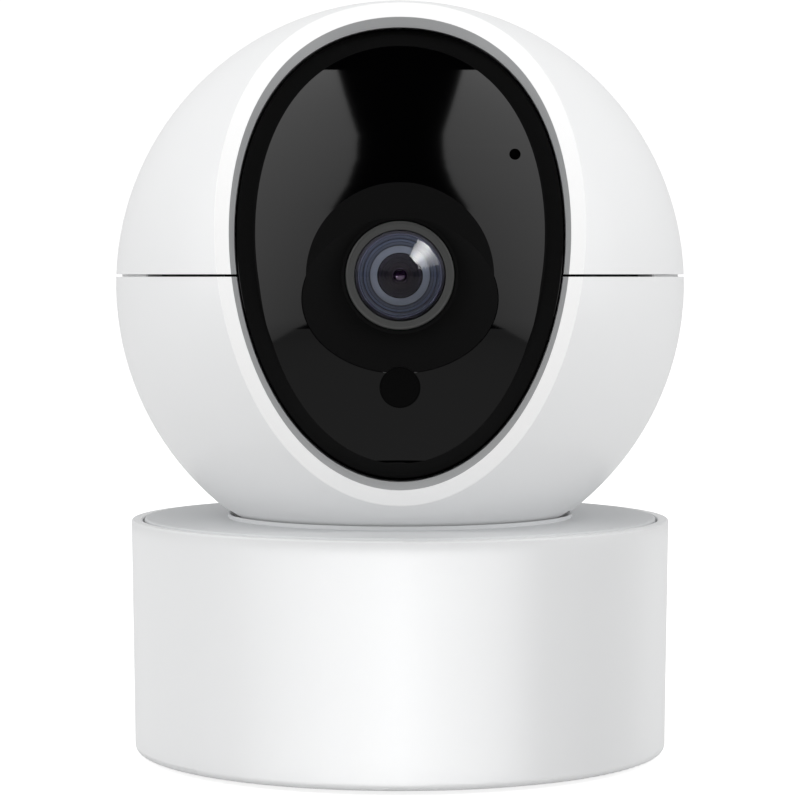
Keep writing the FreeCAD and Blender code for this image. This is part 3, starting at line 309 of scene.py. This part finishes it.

# %% [markdown]
# ## Glass
#
# The front element is clear, so it is a dielectric that lets light through. Behind it the funnel's colour
# is painted with blue-grey rings: painted reflections of its coating, with thin bright and dark rings at its
# steps as painted highlights and painted shade. The iris is purple-black, and the little violet light that
# its coating throws back is painted into its colour as a painted reflection, as is the pupil's violet. Their
# colours go by the distance from the lens's axis. The funnel and the iris are opaque: nothing behind them
# is ever seen.


# %% Glass materials
def plain(name, color, rough, **sockets):
    material = bpy.data.materials.new(name)
    material.use_nodes = True
    shader = material.node_tree.nodes["Principled BSDF"]
    shader.inputs["Base Color"].default_value = (*color, 1)
    shader.inputs["Roughness"].default_value = rough
    for label, value in sockets.items():
        shader.inputs[label.replace("_", " ")].default_value = value
    return material


front_glass = plain("glass_front", (0.93, 0.94, 1.0), 0.0, Transmission_Weight=1.0, IOR=1.25)


def rings_by_radius(name, reach, stops, rough, **sockets):
    """A finish whose colour goes by the distance from the lens's axis: reach is 1 on the ramp."""
    material = plain(name, (0.01, 0.01, 0.01), rough, **sockets)
    tree = material.node_tree
    shader = tree.nodes["Principled BSDF"]
    place, split = places(tree)
    up = math_node(tree, "SUBTRACT", split.outputs["Z"], LENS_HEIGHT)
    squares = sum_of_squares(tree, split.outputs["X"], up)
    radius = math_node(tree, "DIVIDE", math_node(tree, "SQRT", squares, 0.0), reach)
    ramp = tree.nodes.new("ShaderNodeValToRGB")
    for i, (share, color) in enumerate(stops):
        stop = ramp.color_ramp.elements[i] if i < 2 else ramp.color_ramp.elements.new(share)
        stop.position = share
        stop.color = (*color, 1)
    tree.links.new(radius, ramp.inputs["Fac"])
    tree.links.new(ramp.outputs["Color"], shader.inputs["Base Color"])
    return material


# Painted reflections: the ramp paints the funnel's blue-grey bands, and its thin bright and dark rings are
# painted highlights and painted shade at the steps.
funnel_painted_reflections = rings_by_radius("funnel_coating_painted_reflections", 6.2 * MM, [
    (0.0, (0.221, 0.246, 0.281)), (0.655, (0.255, 0.281, 0.323)), (0.665, (0.034, 0.041, 0.051)),
    (0.70, (0.093, 0.111, 0.153)), (0.80, (0.119, 0.145, 0.221)), (0.82, (0.060, 0.068, 0.093)),
    (0.88, (0.136, 0.162, 0.238)), (0.915, (0.272, 0.281, 0.391)), (0.945, (0.051, 0.051, 0.068)),
    (1.0, (0.085, 0.076, 0.093))], 0.42, Metallic=0.2)
# Painted reflection: the iris's violet and its faint rings are painted into its colour.
iris_painted_reflection = rings_by_radius("iris_painted_violet_reflection", 3.05 * MM, [
    (0.0, (0.01, 0.004, 0.02)), (0.30, (0.012, 0.005, 0.02)), (0.33, (0.05, 0.03, 0.05)),
    (0.37, (0.012, 0.008, 0.012)), (0.55, (0.020, 0.013, 0.020)), (0.58, (0.008, 0.006, 0.010)),
    (0.74, (0.018, 0.013, 0.022)), (0.78, (0.006, 0.005, 0.008)), (0.90, (0.022, 0.017, 0.030)),
    (1.0, (0.004, 0.003, 0.005))], 0.35, Specular_IOR_Level=0.2)
# The pupil's violet is a painted reflection; its gloss and tinted shine are real.
pupil_painted_reflection = plain("pupil_painted_violet_reflection", (0.012, 0.003, 0.018), 0.05, Specular_IOR_Level=1.0,
                     Specular_Tint=(1.0, 0.72, 0.92, 1))
finishes["lens_glass"] = front_glass
print("lens finishes:", front_glass.name, funnel_painted_reflections.name, iris_painted_reflection.name, pupil_painted_reflection.name)

# %% [markdown]
# A few pieces differ from the rest of their slot, so each of these gets a material of its own: the shells
# with the framed face, the drum, the lens barrel, and some small ones.

# %% Pieces with a finish of their own
special = {
    "upper_shell": ball_white,
    "lower_shell": ball_white,
    "lens_baffle": moulded("baffle_grey", (0.05, 0.052, 0.056), 0.42, 3000, 0.5, 0.05),
    "microphone": moulded("microphone_black", (0.004, 0.004, 0.004), 0.8, 1500, 0.5, 0.1),
    "light_window": moulded("window_black", (0.001, 0.001, 0.001), 0.6, 900, 0.0, 0.0, 0.0,
                            Specular_IOR_Level=0.06),
    "usb_socket": moulded("socket_steel", (0.66, 0.66, 0.67), 0.24, 3000, 0.5, 0.05, 0.03, Metallic=1.0),
    # The drum is the shell's white plastic painted darker: painted shade for its dimmer sides; its bright
    # bands come from the band card.
    "base_housing": moulded("drum_white_painted_shade", (0.75, 0.755, 0.76), 0.42, 1800, 0.5, 0.06, 0.015,
                            Specular_IOR_Level=0.42),
    "lens_barrel": moulded("barrel_grey", (0.045, 0.046, 0.045), 0.4, 3000, 0.6, 0.05),
    # The cup is the white plastic painted darker still: painted shade for the crease under the ball.
    "deck_cup": moulded("cup_white_painted_shade", (0.62, 0.63, 0.64), 0.5, 1500, 1.0, 0.2),
    "bottom_plate": moulded("plate_white", (0.74, 0.745, 0.75), 0.5, 1500, 1.2, 0.3),
    "head_frame": moulded("frame_grey", (0.22, 0.22, 0.23), 0.5, 1500, 1.0, 0.2),
    "speaker": moulded("speaker_black", (0.03, 0.03, 0.03), 0.6, 1500, 1.0, 0.2),
}
print("pieces with a finish of their own:", len(special))

# %% [markdown]
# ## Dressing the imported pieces
#
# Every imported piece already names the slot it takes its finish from. The loop gives each its material, by
# slot unless the piece has one of its own.

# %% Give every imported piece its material
slot_of = {s["node"]: s["material_slot"] for s in frame["record"]["subparts"]}
for name, piece in nodes.items():
    material = special.get(name) or finishes[slot_of[name]]
    piece.data.materials.clear()
    piece.data.materials.append(material)
print("dressed:", len(nodes))

# %% [markdown]
# ## Turned pieces inside the lens
#
# The coated funnel, the iris and the small front dome of the inner element are all turned about the lens's
# axis. Each is a profile of radius and depth, spun in steps: the code joins each ring of points to the
# next, so the mesh closes on itself with its faces outwards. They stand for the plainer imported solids.


# %% Spin a profile round the lens's axis
def turned(name, profile, material, stands_for=(), steps=128):
    """profile: radius and depth behind the lens's front, in mm, from the front round to the back."""
    corners, faces = [], []
    for radius, depth in profile:
        for i in range(steps):
            angle = 2 * math.pi * i / steps
            corners.append((radius * MM * math.cos(angle), LENS_FRONT_Y + depth * MM,
                            LENS_HEIGHT + radius * MM * math.sin(angle)))
    for r in range(len(profile) - 1):
        for i in range(steps):
            a, b = r * steps + i, r * steps + (i + 1) % steps
            faces.append((a, b, b + steps, a + steps))
    mesh = bpy.data.meshes.new(name)
    mesh.from_pydata(corners, [], faces)
    mesh.materials.append(material)
    work = bmesh.new()
    work.from_mesh(mesh)
    bmesh.ops.remove_doubles(work, verts=work.verts, dist=0.0005 * MM)
    bmesh.ops.recalc_face_normals(work, faces=work.faces)
    work.to_mesh(mesh)
    work.free()
    mesh.shade_smooth()
    mesh.set_sharp_from_angle(angle=math.radians(30))
    piece = bpy.data.objects.new(name, mesh)
    bpy.context.scene.collection.objects.link(piece)
    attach(piece, "head")
    if stands_for:
        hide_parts(*stands_for)
    print(name, "faces:", len(mesh.polygons))
    return piece


FUNNEL = [(3.1, 3.85), (3.1, 3.80), (4.05, 3.45), (4.15, 3.5), (4.25, 3.4), (4.95, 3.05), (5.05, 3.12),
          (5.15, 2.98), (5.6, 2.72), (5.7, 2.78), (5.8, 2.62), (6.15, 2.45), (6.18, 2.45), (6.18, 4.2),
          (3.1, 4.2), (3.1, 3.85)]
IRIS = [(0.0, 4.55), (0.95, 4.55), (1.0, 4.6), (1.2, 4.58), (1.25, 4.48), (1.75, 4.42), (1.8, 4.34),
        (2.3, 4.28), (2.35, 4.2), (2.85, 4.15), (3.0, 4.1), (3.09, 4.21), (4.36, 4.21), (4.36, 10.2),
        (0.0, 10.2)]
PUPIL = [(0.92 * math.sin(math.radians(a)), 4.52 - 0.62 * math.cos(math.radians(a)))
         for a in range(0, 91, 10)]
turned("lens_funnel", FUNNEL, funnel_painted_reflections, ("lens_baffle",))
turned("lens_iris", IRIS, iris_painted_reflection, ("lens_rear_glass",))
turned("lens_pupil", PUPIL + [(0.0, 4.52)], pupil_painted_reflection)

# %% [markdown]
# ## Light-trap rings in the lens tube
#
# Inside a lens tube, fine steps keep stray light out. They repeat by a rule, each a little narrower and
# deeper than the last, so Geometry Nodes make them: a ring is drawn once, put on a row of points, and
# scaled along the row. The result is baked into a plain mesh, because an export keeps only real faces.


# %% Geometry Nodes: a stack of rings
def ring_stack_tree():
    tree = bpy.data.node_groups.new("ring_stack", "GeometryNodeTree")
    face = tree.interface
    for label, kind, value in (("Count", "NodeSocketInt", 8), ("Front Radius", F, 0.005),
                               ("Back Radius", F, 0.004), ("Length", F, 0.002), ("Wire", F, 0.0001)):
        face.new_socket(name=label, in_out="INPUT", socket_type=kind).default_value = value
    face.new_socket(name="Material", in_out="INPUT", socket_type="NodeSocketMaterial")
    face.new_socket(name="Geometry", in_out="OUTPUT", socket_type="NodeSocketGeometry")
    given, result = tree.nodes.new("NodeGroupInput"), tree.nodes.new("NodeGroupOutput")

    def node(kind, **sockets):
        made = tree.nodes.new(kind)
        for label, value in sockets.items():
            socket = made.inputs[label.replace("_", " ")]
            if hasattr(value, "is_output"):
                tree.links.new(value, socket)
            else:
                socket.default_value = value
        return made

    loop = node("GeometryNodeCurvePrimitiveCircle", Resolution=96, Radius=given.outputs["Front Radius"])
    wire = node("GeometryNodeCurvePrimitiveCircle", Resolution=8, Radius=given.outputs["Wire"])
    ring = node("GeometryNodeCurveToMesh", Curve=loop.outputs["Curve"], Profile_Curve=wire.outputs["Curve"])
    row = node("GeometryNodeMeshLine", Count=given.outputs["Count"])
    index = tree.nodes.new("GeometryNodeInputIndex").outputs[0]
    last = math_node(tree, "SUBTRACT", given.outputs["Count"], 1)
    share = math_node(tree, "DIVIDE", index, last)
    depth = math_node(tree, "MULTIPLY", share, given.outputs["Length"])
    narrow = math_node(tree, "DIVIDE", given.outputs["Back Radius"], given.outputs["Front Radius"])
    size = math_node(tree, "ADD", 1.0,
                     math_node(tree, "MULTIPLY", share, math_node(tree, "SUBTRACT", narrow, 1.0)))
    place = node("ShaderNodeCombineXYZ", Z=depth)
    placed = node("GeometryNodeSetPosition", Geometry=row.outputs["Mesh"], Position=place.outputs[0])
    copies = node("GeometryNodeInstanceOnPoints", Points=placed.outputs[0], Instance=ring.outputs["Mesh"],
                  Scale=size)
    real = node("GeometryNodeRealizeInstances", Geometry=copies.outputs[0])
    done = node("GeometryNodeSetMaterial", Geometry=real.outputs[0], Material=given.outputs["Material"])
    tree.links.new(done.outputs[0], result.inputs["Geometry"])
    return tree


rings_tree = ring_stack_tree()


def ring_stack(name, matrix, material, **sizes):
    """A plain mesh object of the ring tree evaluated with these sizes, with its place in its mesh."""
    carrier = bpy.data.objects.new(name + "_carrier", bpy.data.meshes.new(name + "_carrier"))
    bpy.context.scene.collection.objects.link(carrier)
    modifier = carrier.modifiers.new("rings", "NODES")
    modifier.node_group = rings_tree
    for item in rings_tree.interface.items_tree:
        if item.in_out == "INPUT" and item.name in sizes:
            modifier[item.identifier] = sizes[item.name]
        elif item.in_out == "INPUT" and item.name == "Material":
            modifier[item.identifier] = material
    seen = carrier.evaluated_get(bpy.context.evaluated_depsgraph_get())
    mesh = bpy.data.meshes.new_from_object(seen)
    bpy.data.objects.remove(carrier)
    mesh.transform(matrix)
    mesh.shade_smooth()
    piece = bpy.data.objects.new(name, mesh)
    bpy.context.scene.collection.objects.link(piece)
    return piece


def facing_back(y):
    """Turns +Z to +Y, into the lens, from a place on the lens's axis."""
    return Matrix.Translation((0, y, LENS_HEIGHT)) @ Matrix.Rotation(-math.pi / 2, 4, "X")


lens_steps = ring_stack("lens_steps", facing_back(LENS_FRONT_Y + 2.55 * MM), special["lens_baffle"],
                        **{"Count": 7, "Front Radius": 6.0 * MM, "Back Radius": 3.2 * MM,
                           "Length": 1.3 * MM, "Wire": 0.05 * MM})
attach(lens_steps, "head")
print("lens_steps faces:", len(lens_steps.data.polygons))

# %% [markdown]
# ## The view
#
# The camera stands level with the seam, well back, with a long lens, so upright lines stay upright. A
# downward shift of the lens, not a tilt, brings the base into view.

# %% Camera
camera_data = bpy.data.cameras.new("viewer")
camera_data.lens = 131.7
camera_data.sensor_width = 36.0
camera_data.shift_y = -0.1556
camera = bpy.data.objects.new("viewer", camera_data)
camera.location = (0.0, -CAMERA_BACK, LENS_HEIGHT)
camera.rotation_euler = (math.pi / 2, 0.0, 0.0)
bpy.context.scene.collection.objects.link(camera)
bpy.context.scene.camera = camera
bpy.context.scene.view_settings.view_transform = "Standard"
print("camera at", [round(v, 4) for v in camera.location])

# %% [markdown]
# ## The studio
#
# A white product on white needs light from everywhere, and a polished black face needs darkness to stay
# black. The two wishes meet by giving the room one brightness for the rays that light the plastic and a
# darker one for the rays that a polished surface throws back. The floor is plain and pale.


# %% Room and floor
world = bpy.data.worlds.new("studio_room")
bpy.context.scene.world = world
world.use_nodes = True
room = world.node_tree
back = room.nodes["Background"]
paths = room.nodes.new("ShaderNodeLightPath")
FILL, SEEN, THROWN = 0.78, 1.1, 0.01            # room light on plastic, to the eye, and in mirror images
FLOOR_SEEN, FLOOR_THROWN = 0.8, 0.9             # the floor's added glow to the eye, and in mirror images
seen_part = math_node(room, "MULTIPLY", paths.outputs["Is Camera Ray"], SEEN - FILL)
thrown_part = math_node(room, "MULTIPLY", paths.outputs["Is Glossy Ray"], THROWN - FILL)
total = math_node(room, "ADD", FILL, math_node(room, "ADD", seen_part, thrown_part))
room.links.new(total, back.inputs["Strength"])
back.inputs["Color"].default_value = (1, 1, 1, 1)


def flat_piece(name, corners, material):
    mesh = bpy.data.meshes.new(name)
    mesh.from_pydata(corners, [], [tuple(range(len(corners)))])
    mesh.materials.append(material)
    made = bpy.data.objects.new(name, mesh)
    bpy.context.scene.collection.objects.link(made)
    return made


pale = plain("floor_pale", (0.6, 0.6, 0.6), 0.9, Specular_IOR_Level=0.0)
floor_tree = pale.node_tree
surface = floor_tree.nodes["Principled BSDF"]
floor_paths = floor_tree.nodes.new("ShaderNodeLightPath")
floor_place = floor_tree.nodes.new("ShaderNodeTexCoord")
far = floor_tree.nodes.new("ShaderNodeVectorMath")
far.operation = "LENGTH"
floor_tree.links.new(floor_place.outputs["Object"], far.inputs[0])
near = floor_tree.nodes.new("ShaderNodeMapRange")
for label, value in (("From Min", 0.04), ("From Max", 1.2), ("To Min", 1.0), ("To Max", 0.8)):
    near.inputs[label].default_value = value
floor_tree.links.new(far.outputs["Value"], near.inputs["Value"])
dim = floor_tree.nodes.new("ShaderNodeEmission")
floor_tree.links.new(math_node(floor_tree, "MULTIPLY", near.outputs["Result"], FLOOR_THROWN),
                     dim.inputs["Strength"])
surface.inputs["Emission Color"].default_value = (1, 1, 1, 1)
floor_tree.links.new(math_node(floor_tree, "MULTIPLY", floor_paths.outputs["Is Camera Ray"], FLOOR_SEEN),
                     surface.inputs["Emission Strength"])
choose = floor_tree.nodes.new("ShaderNodeMixShader")
floor_tree.links.new(floor_paths.outputs["Is Glossy Ray"], choose.inputs["Fac"])
floor_tree.links.new(surface.outputs[0], choose.inputs[1])
floor_tree.links.new(dim.outputs[0], choose.inputs[2])
floor_tree.links.new(choose.outputs[0], floor_tree.nodes["Material Output"].inputs["Surface"])
flat_piece("floor", [(-6, -6, 0), (6, -6, 0), (6, 6, 0), (-6, 6, 0)], pale)
print("room and floor are in place")

# %% [markdown]
# Broad lamps shape the ball: a large one overhead, one on each side and a low one in front. They light
# the plastic softly. Only the side lamps are mirrored, and from the front the face doesn't catch them.


# %% Broad lamps
def lamp(name, place, aim, width, height, watts, thrown=True):
    data = bpy.data.lights.new(name, "AREA")
    data.shape = "RECTANGLE"
    data.size, data.size_y, data.energy = width, height, watts
    made = bpy.data.objects.new(name, data)
    made.location = place
    made.rotation_euler = (Vector(aim) - Vector(place)).to_track_quat("-Z", "Y").to_euler()
    made.visible_glossy = thrown
    made.visible_camera = made.visible_transmission = False
    bpy.context.scene.collection.objects.link(made)
    return made


lamp("lamp_over", (0.0, -0.25, 1.0), (0, 0, 0.07), 0.6, 0.6, 1.3, False)
lamp("lamp_left", (-0.9, -0.2, 0.35), (0, 0, 0.06), 0.4, 0.8, 1.9)
lamp("lamp_right", (0.9, -0.2, 0.35), (0, 0, 0.06), 0.4, 0.8, 1.8)
lamp("lamp_front", (0.0, -1.2, 0.12), (0, 0, 0.06), 0.5, 0.2, 1.5, False)
print("lamps:", len(bpy.data.lights))

# %% [markdown]
# ## What the white plastic mirrors
#
# White plastic has a faint gloss, strongest at its edges. A white dome gives the ball and the base a room to
# mirror, and a thin band round the drum gives it tall soft bands: bright in front, dim to each side. Both are
# linked to the white pieces alone, so the black face stays black.


# %% Cards that only some pieces mirror
card_light = bpy.data.materials.new("card_light")
card_light.use_nodes = True
card_tree = card_light.node_tree
card_tree.nodes.remove(card_tree.nodes["Principled BSDF"])
emit = card_tree.nodes.new("ShaderNodeEmission")
glow_in = card_tree.nodes.new("ShaderNodeAttribute")
glow_in.attribute_name = "glow"
CARD_STRENGTH = 5.0
card_tree.links.new(math_node(card_tree, "MULTIPLY", glow_in.outputs["Fac"], CARD_STRENGTH),
                    emit.inputs["Strength"])
card_tree.links.new(emit.outputs[0], card_tree.nodes["Material Output"].inputs["Surface"])


def glowing_grid(name, rows, glow, receivers):
    """A sheet from rows of points, each with its own glow, mirrored by the receivers and nothing else."""
    across = len(rows[0])
    faces = [(r * across + i, r * across + i + 1, (r + 1) * across + i + 1, (r + 1) * across + i)
             for r in range(len(rows) - 1) for i in range(across - 1)]
    mesh = bpy.data.meshes.new(name)
    mesh.from_pydata([point for row in rows for point in row], [], faces)
    layer = mesh.attributes.new("glow", "FLOAT", "POINT")
    layer.data.foreach_set("value", [value for row in glow for value in row])
    mesh.materials.append(card_light)
    made = bpy.data.objects.new(name, mesh)
    made.visible_camera = made.visible_shadow = made.visible_diffuse = made.visible_transmission = False
    bpy.context.scene.collection.objects.link(made)
    group = bpy.data.collections.new(name + "_seen_by")
    for receiver in receivers:
        group.objects.link(nodes[receiver])
    made.light_linking.receiver_collection = group
    print(name, "faces:", len(faces))
    return made


ROOM_RADIUS = 5.0
turns, rises = [math.radians(15 * i) for i in range(25)], [math.radians(15 * j) for j in range(7)]
dome_rows = [[(ROOM_RADIUS * math.cos(t) * math.cos(h), ROOM_RADIUS * math.cos(t) * math.sin(h),
               ROOM_RADIUS * math.sin(t)) for h in turns] for t in rises]
glowing_grid("dome_white", dome_rows, [[0.14] * len(turns)] * len(rises),
             ("upper_shell", "lower_shell", "base_housing"))
# Degrees round from the front, to the left below zero, and what the drum mirrors there.
BANDS = [(-180, 0.18), (-110, 0.18), (-92, 0.19), (-68, 0.30), (-50, 0.38), (-38, 0.55), (-23, 1.25),
         (-14, 1.6), (-4, 1.9), (0, 1.95), (4, 1.8), (9, 1.55), (18, 1.2), (23, 0.9), (29, 0.4), (33, 0.15),
         (44, 0.0), (50, 0.03), (58, 0.12), (68, 0.25), (92, 0.19), (110, 0.18), (180, 0.18)]
BAND_RADIUS = 42.5 * MM
band_rows = [[(BAND_RADIUS * math.sin(math.radians(a)), -BAND_RADIUS * math.cos(math.radians(a)), height)
              for a, glow in BANDS] for height in (0.6 * MM, 33.5 * MM)]
glowing_grid("band_drum", band_rows, [[glow for a, glow in BANDS]] * 2, ("base_housing",))

# %% [markdown]
# ## Cards for the black face
#
# A studio gives a black face its shape with two pale cards that it mirrors. The face is flat from side to
# side, so a card's edge can be found backwards: take a place on the face, follow the line of sight to it,
# bounce it off, and mark where it meets a big sphere round the ball. Marking a grid of such places makes
# the card. Only the face mirrors it.


# %% Find a card's shape by bouncing lines of sight
def bounce(x, up, reach=0.62):
    point, out = face_point(x, up)
    look = (point - camera.location).normalized()
    away = look - 2 * look.dot(out) * out
    start = point - BALL_CENTRE
    middle = start.dot(away)
    return point + away * (-middle + math.sqrt(middle**2 - start.length_squared + reach**2))


# Height above the tilt centre, then how far the card's mirror image reaches inwards and outwards.
CARD_ROWS = [(30.7, 9.0, 24.0), (26.0, 7.6, 24.0), (21.0, 6.0, 24.0), (17.5, 6.2, 25.0), (14.0, 7.4, 25.0),
             (10.8, 9.4, 25.0), (5.0, 9.8, 25.0), (0.0, 10.2, 25.0), (-4.6, 10.6, 25.0), (-6.2, 14.8, 25.0),
             (-7.9, 18.2, 25.0)]
STEPS = 10


def card(name, side):
    rows, glow = [], []
    top, bottom = CARD_ROWS[0][0], CARD_ROWS[-1][0]
    for up, inner, outer in CARD_ROWS:
        shares = [i / STEPS for i in range(STEPS + 1)]
        rows.append([bounce(side * (inner + (outer - inner) * share) * MM, up * MM) for share in shares])
        glow.append([0.32 + 0.25 * share + 0.43 * (up - bottom) / (top - bottom) for share in shares])
    return glowing_grid(name, rows, glow, ("face_panel",))


for name, side in (("card_left", -1), ("card_right", 1)):
    card(name, side)

# %% [markdown]
# The lens gets a small bright card of its own, up and to the right, found the same way from the curve of
# its front glass. Two tiny lamps shine in through the glass and make the two glints on the inner element.


# %% Highlight and glints for the lens
def bounce_glass(radius, angle, reach=0.5):
    x, up = radius * MM * math.cos(angle), radius * MM * math.sin(angle)
    out = Vector((x / GLASS_CURVE, -math.sqrt(1 - (radius * MM / GLASS_CURVE) ** 2), up / GLASS_CURVE))
    point = Vector((x, LENS_FRONT_Y, LENS_HEIGHT + up))
    look = (point - camera.location).normalized()
    return point + (look - 2 * look.dot(out) * out) * reach


FLARE_GLOW = [1.6, 2.4, 4.0, 9.0, 12.0, 7.0, 3.5]
flare_rows = [[bounce_glass(radius, math.radians(angle)) for angle in range(16, 68, 8)]
              for radius in (2.8, 3.6, 4.8, 5.9)]
glowing_grid("card_lens", flare_rows, [FLARE_GLOW] * len(flare_rows), ("lens_front_glass",))
GLINT_SIZE, GLINT_WATTS = 0.02, 0.02
for name, place in (("glint_low", (-0.115, -0.175, 0.02)), ("glint_high", (0.06, -0.22, 0.14))):
    glint = lamp(name, place, (0, -0.03, LENS_HEIGHT), GLINT_SIZE, GLINT_SIZE, GLINT_WATTS, False)
    glint.visible_transmission, glint.visible_diffuse = True, False
    glint.light_linking.receiver_collection = bpy.data.collections["card_lens_seen_by"]
